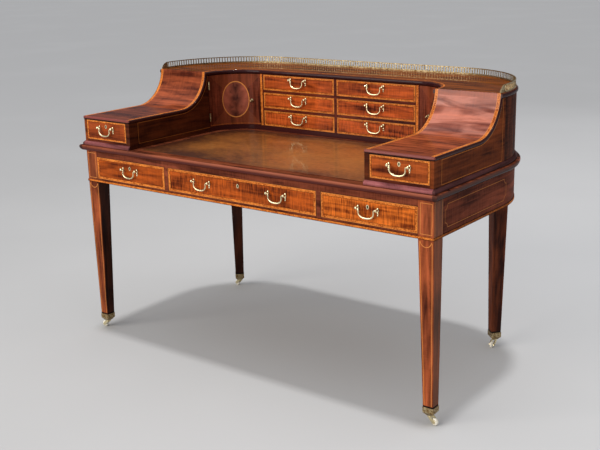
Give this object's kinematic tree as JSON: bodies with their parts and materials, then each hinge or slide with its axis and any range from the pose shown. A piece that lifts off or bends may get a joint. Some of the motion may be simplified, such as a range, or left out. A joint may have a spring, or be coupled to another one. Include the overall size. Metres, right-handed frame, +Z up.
{
  "type": "carlton house desk",
  "caption": "Mahogany writing desk with a leather top, a horseshoe of small drawers and curved cupboards, swept wings, a brass gallery and tapered legs on casters",
  "frame": {"origin": "on the floor, under the middle of the desk's bounding box", "axes": "+X to the sitter's right along the front, +Y from the front to the back, +Z up"},
  "size_m": [1.54, 0.84, 1.006],
  "materials": {
    "mahogany": "polished red-brown mahogany with light crossbanding and stringing",
    "drawer_wood": "polished figured mahogany fronts with satinwood crossbanding, plain linings",
    "plain_wood": "plain inner wood",
    "leather": "olive-brown leather with a tooled border",
    "brass": "polished brass",
    "aged_brass": "dull cast brass",
    "ceramic": "white glazed caster wheels"
  },
  "bodies": {
    "desk": {"legs": "mahogany", "caster_caps": "aged_brass", "frieze": "mahogany", "drawer_runners": "plain_wood", "table_top": "mahogany", "leather_top": "leather", "base_moulding": "mahogany", "wing_walls": "mahogany", "wing_lids": "mahogany", "case_back": "mahogany", "bank_frame": "mahogany", "deck": "mahogany", "gallery": "brass", "door_hinges": "brass"},
    "centre_drawer": {"centre_drawer": "drawer_wood", "centre_handle_posts": "brass"},
    "centre_left_bail": {"centre_left_bail": "brass"},
    "centre_right_bail": {"centre_right_bail": "brass"},
    "left_side_drawer": {"left_side_drawer": "drawer_wood", "left_side_handle_posts": "brass"},
    "left_side_bail": {"left_side_bail": "brass"},
    "left_wing_drawer": {"left_wing_drawer": "drawer_wood", "left_wing_handle_posts": "brass"},
    "left_wing_bail": {"left_wing_bail": "brass"},
    "left_lower_drawer": {"left_lower_drawer": "drawer_wood", "left_lower_handle_posts": "brass"},
    "left_lower_bail": {"left_lower_bail": "brass"},
    "left_middle_drawer": {"left_middle_drawer": "drawer_wood", "left_middle_handle_posts": "brass"},
    "left_middle_bail": {"left_middle_bail": "brass"},
    "left_upper_drawer": {"left_upper_drawer": "drawer_wood", "left_upper_handle_posts": "brass"},
    "left_upper_bail": {"left_upper_bail": "brass"},
    "right_side_drawer": {"right_side_drawer": "drawer_wood", "right_side_handle_posts": "brass"},
    "right_side_bail": {"right_side_bail": "brass"},
    "right_wing_drawer": {"right_wing_drawer": "drawer_wood", "right_wing_handle_posts": "brass"},
    "right_wing_bail": {"right_wing_bail": "brass"},
    "right_lower_drawer": {"right_lower_drawer": "drawer_wood", "right_lower_handle_posts": "brass"},
    "right_lower_bail": {"right_lower_bail": "brass"},
    "right_middle_drawer": {"right_middle_drawer": "drawer_wood", "right_middle_handle_posts": "brass"},
    "right_middle_bail": {"right_middle_bail": "brass"},
    "right_upper_drawer": {"right_upper_drawer": "drawer_wood", "right_upper_handle_posts": "brass"},
    "right_upper_bail": {"right_upper_bail": "brass"},
    "left_door": {"left_door": "mahogany", "left_door_fittings": "brass"},
    "right_door": {"right_door": "mahogany", "right_door_fittings": "brass"},
    "front_left_caster": {"front_left_caster_fork": "aged_brass"},
    "front_left_wheel": {"front_left_caster_wheel": "ceramic"},
    "front_right_caster": {"front_right_caster_fork": "aged_brass"},
    "front_right_wheel": {"front_right_caster_wheel": "ceramic"},
    "back_left_caster": {"back_left_caster_fork": "aged_brass"},
    "back_left_wheel": {"back_left_caster_wheel": "ceramic"},
    "back_right_caster": {"back_right_caster_fork": "aged_brass"},
    "back_right_wheel": {"back_right_caster_wheel": "ceramic"}
  },
  "joints": [
    {"name": "centre_drawer_slide", "type": "slide", "parent": "desk", "child": "centre_drawer", "axis": [0, -1, 0], "range_m": [0, 0.3]},
    {"name": "centre_left_bail_lift", "type": "hinge", "parent": "centre_drawer", "child": "centre_left_bail", "pos_m": [-0.166, -0.4125, 0.6685], "axis": [-1, 0, 0], "range_deg": [0, 90]},
    {"name": "centre_right_bail_lift", "type": "hinge", "parent": "centre_drawer", "child": "centre_right_bail", "pos_m": [0.166, -0.4125, 0.6685], "axis": [-1, 0, 0], "range_deg": [0, 90]},
    {"name": "left_side_drawer_slide", "type": "slide", "parent": "desk", "child": "left_side_drawer", "axis": [0, -1, 0], "range_m": [0, 0.3]},
    {"name": "left_side_bail_lift", "type": "hinge", "parent": "left_side_drawer", "child": "left_side_bail", "pos_m": [-0.521, -0.4125, 0.6685], "axis": [-1, 0, 0], "range_deg": [0, 90]},
    {"name": "left_wing_drawer_slide", "type": "slide", "parent": "desk", "child": "left_wing_drawer", "axis": [0, -1, 0], "range_m": [0, 0.24]},
    {"name": "left_wing_bail_lift", "type": "hinge", "parent": "left_wing_drawer", "child": "left_wing_bail", "pos_m": [-0.6325, -0.4125, 0.8142], "axis": [-1, 0, 0], "range_deg": [0, 90]},
    {"name": "left_lower_drawer_slide", "type": "slide", "parent": "desk", "child": "left_lower_drawer", "axis": [0, -1, 0], "range_m": [0, 0.13]},
    {"name": "left_lower_bail_lift", "type": "hinge", "parent": "left_lower_drawer", "child": "left_lower_bail", "pos_m": [-0.176, 0.1605, 0.807], "axis": [-1, 0, 0], "range_deg": [0, 90]},
    {"name": "left_middle_drawer_slide", "type": "slide", "parent": "desk", "child": "left_middle_drawer", "axis": [0, -1, 0], "range_m": [0, 0.13]},
    {"name": "left_middle_bail_lift", "type": "hinge", "parent": "left_middle_drawer", "child": "left_middle_bail", "pos_m": [-0.176, 0.1605, 0.8775], "axis": [-1, 0, 0], "range_deg": [0, 90]},
    {"name": "left_upper_drawer_slide", "type": "slide", "parent": "desk", "child": "left_upper_drawer", "axis": [0, -1, 0], "range_m": [0, 0.13]},
    {"name": "left_upper_bail_lift", "type": "hinge", "parent": "left_upper_drawer", "child": "left_upper_bail", "pos_m": [-0.176, 0.1605, 0.948], "axis": [-1, 0, 0], "range_deg": [0, 90]},
    {"name": "right_side_drawer_slide", "type": "slide", "parent": "desk", "child": "right_side_drawer", "axis": [0, -1, 0], "range_m": [0, 0.3]},
    {"name": "right_side_bail_lift", "type": "hinge", "parent": "right_side_drawer", "child": "right_side_bail", "pos_m": [0.521, -0.4125, 0.6685], "axis": [-1, 0, 0], "range_deg": [0, 90]},
    {"name": "right_wing_drawer_slide", "type": "slide", "parent": "desk", "child": "right_wing_drawer", "axis": [0, -1, 0], "range_m": [0, 0.24]},
    {"name": "right_wing_bail_lift", "type": "hinge", "parent": "right_wing_drawer", "child": "right_wing_bail", "pos_m": [0.6325, -0.4125, 0.8142], "axis": [-1, 0, 0], "range_deg": [0, 90]},
    {"name": "right_lower_drawer_slide", "type": "slide", "parent": "desk", "child": "right_lower_drawer", "axis": [0, -1, 0], "range_m": [0, 0.13]},
    {"name": "right_lower_bail_lift", "type": "hinge", "parent": "right_lower_drawer", "child": "right_lower_bail", "pos_m": [0.176, 0.1605, 0.807], "axis": [-1, 0, 0], "range_deg": [0, 90]},
    {"name": "right_middle_drawer_slide", "type": "slide", "parent": "desk", "child": "right_middle_drawer", "axis": [0, -1, 0], "range_m": [0, 0.13]},
    {"name": "right_middle_bail_lift", "type": "hinge", "parent": "right_middle_drawer", "child": "right_middle_bail", "pos_m": [0.176, 0.1605, 0.8775], "axis": [-1, 0, 0], "range_deg": [0, 90]},
    {"name": "right_upper_drawer_slide", "type": "slide", "parent": "desk", "child": "right_upper_drawer", "axis": [0, -1, 0], "range_m": [0, 0.13]},
    {"name": "right_upper_bail_lift", "type": "hinge", "parent": "right_upper_drawer", "child": "right_upper_bail", "pos_m": [0.176, 0.1605, 0.948], "axis": [-1, 0, 0], "range_deg": [0, 90]},
    {"name": "left_door_hinge", "type": "hinge", "parent": "desk", "child": "left_door", "pos_m": [-0.50617, 0.03086, 0.8625], "axis": [0, 0, -1], "range_deg": [0, 105]},
    {"name": "right_door_hinge", "type": "hinge", "parent": "desk", "child": "right_door", "pos_m": [0.50617, 0.03086, 0.8625], "axis": [0, 0, 1], "range_deg": [0, 105]},
    {"name": "front_left_swivel", "type": "hinge", "parent": "desk", "child": "front_left_caster", "pos_m": [-0.7345, -0.3775, 0.03], "axis": [0, 0, 1], "continuous": true},
    {"name": "front_left_roll", "type": "hinge", "parent": "front_left_caster", "child": "front_left_wheel", "pos_m": [-0.75143, -0.37898, 0.0125], "axis": [0.0872, -0.9962, 0], "continuous": true},
    {"name": "front_right_swivel", "type": "hinge", "parent": "desk", "child": "front_right_caster", "pos_m": [0.7345, -0.3775, 0.03], "axis": [0, 0, 1], "continuous": true},
    {"name": "front_right_roll", "type": "hinge", "parent": "front_right_caster", "child": "front_right_wheel", "pos_m": [0.75131, -0.38001, 0.0125], "axis": [0.1478, 0.989, 0], "continuous": true},
    {"name": "back_left_swivel", "type": "hinge", "parent": "desk", "child": "back_left_caster", "pos_m": [-0.61831, 0.29076, 0.03], "axis": [0, 0, 1], "continuous": true},
    {"name": "back_left_roll", "type": "hinge", "parent": "back_left_caster", "child": "back_left_wheel", "pos_m": [-0.6348, 0.29487, 0.0125], "axis": [-0.2419, -0.9703, 0], "continuous": true},
    {"name": "back_right_swivel", "type": "hinge", "parent": "desk", "child": "back_right_caster", "pos_m": [0.61831, 0.29076, 0.03], "axis": [0, 0, 1], "continuous": true},
    {"name": "back_right_roll", "type": "hinge", "parent": "back_right_caster", "child": "back_right_wheel", "pos_m": [0.61831, 0.27376, 0.0125], "axis": [1, 0, 0], "continuous": true}
  ]
}
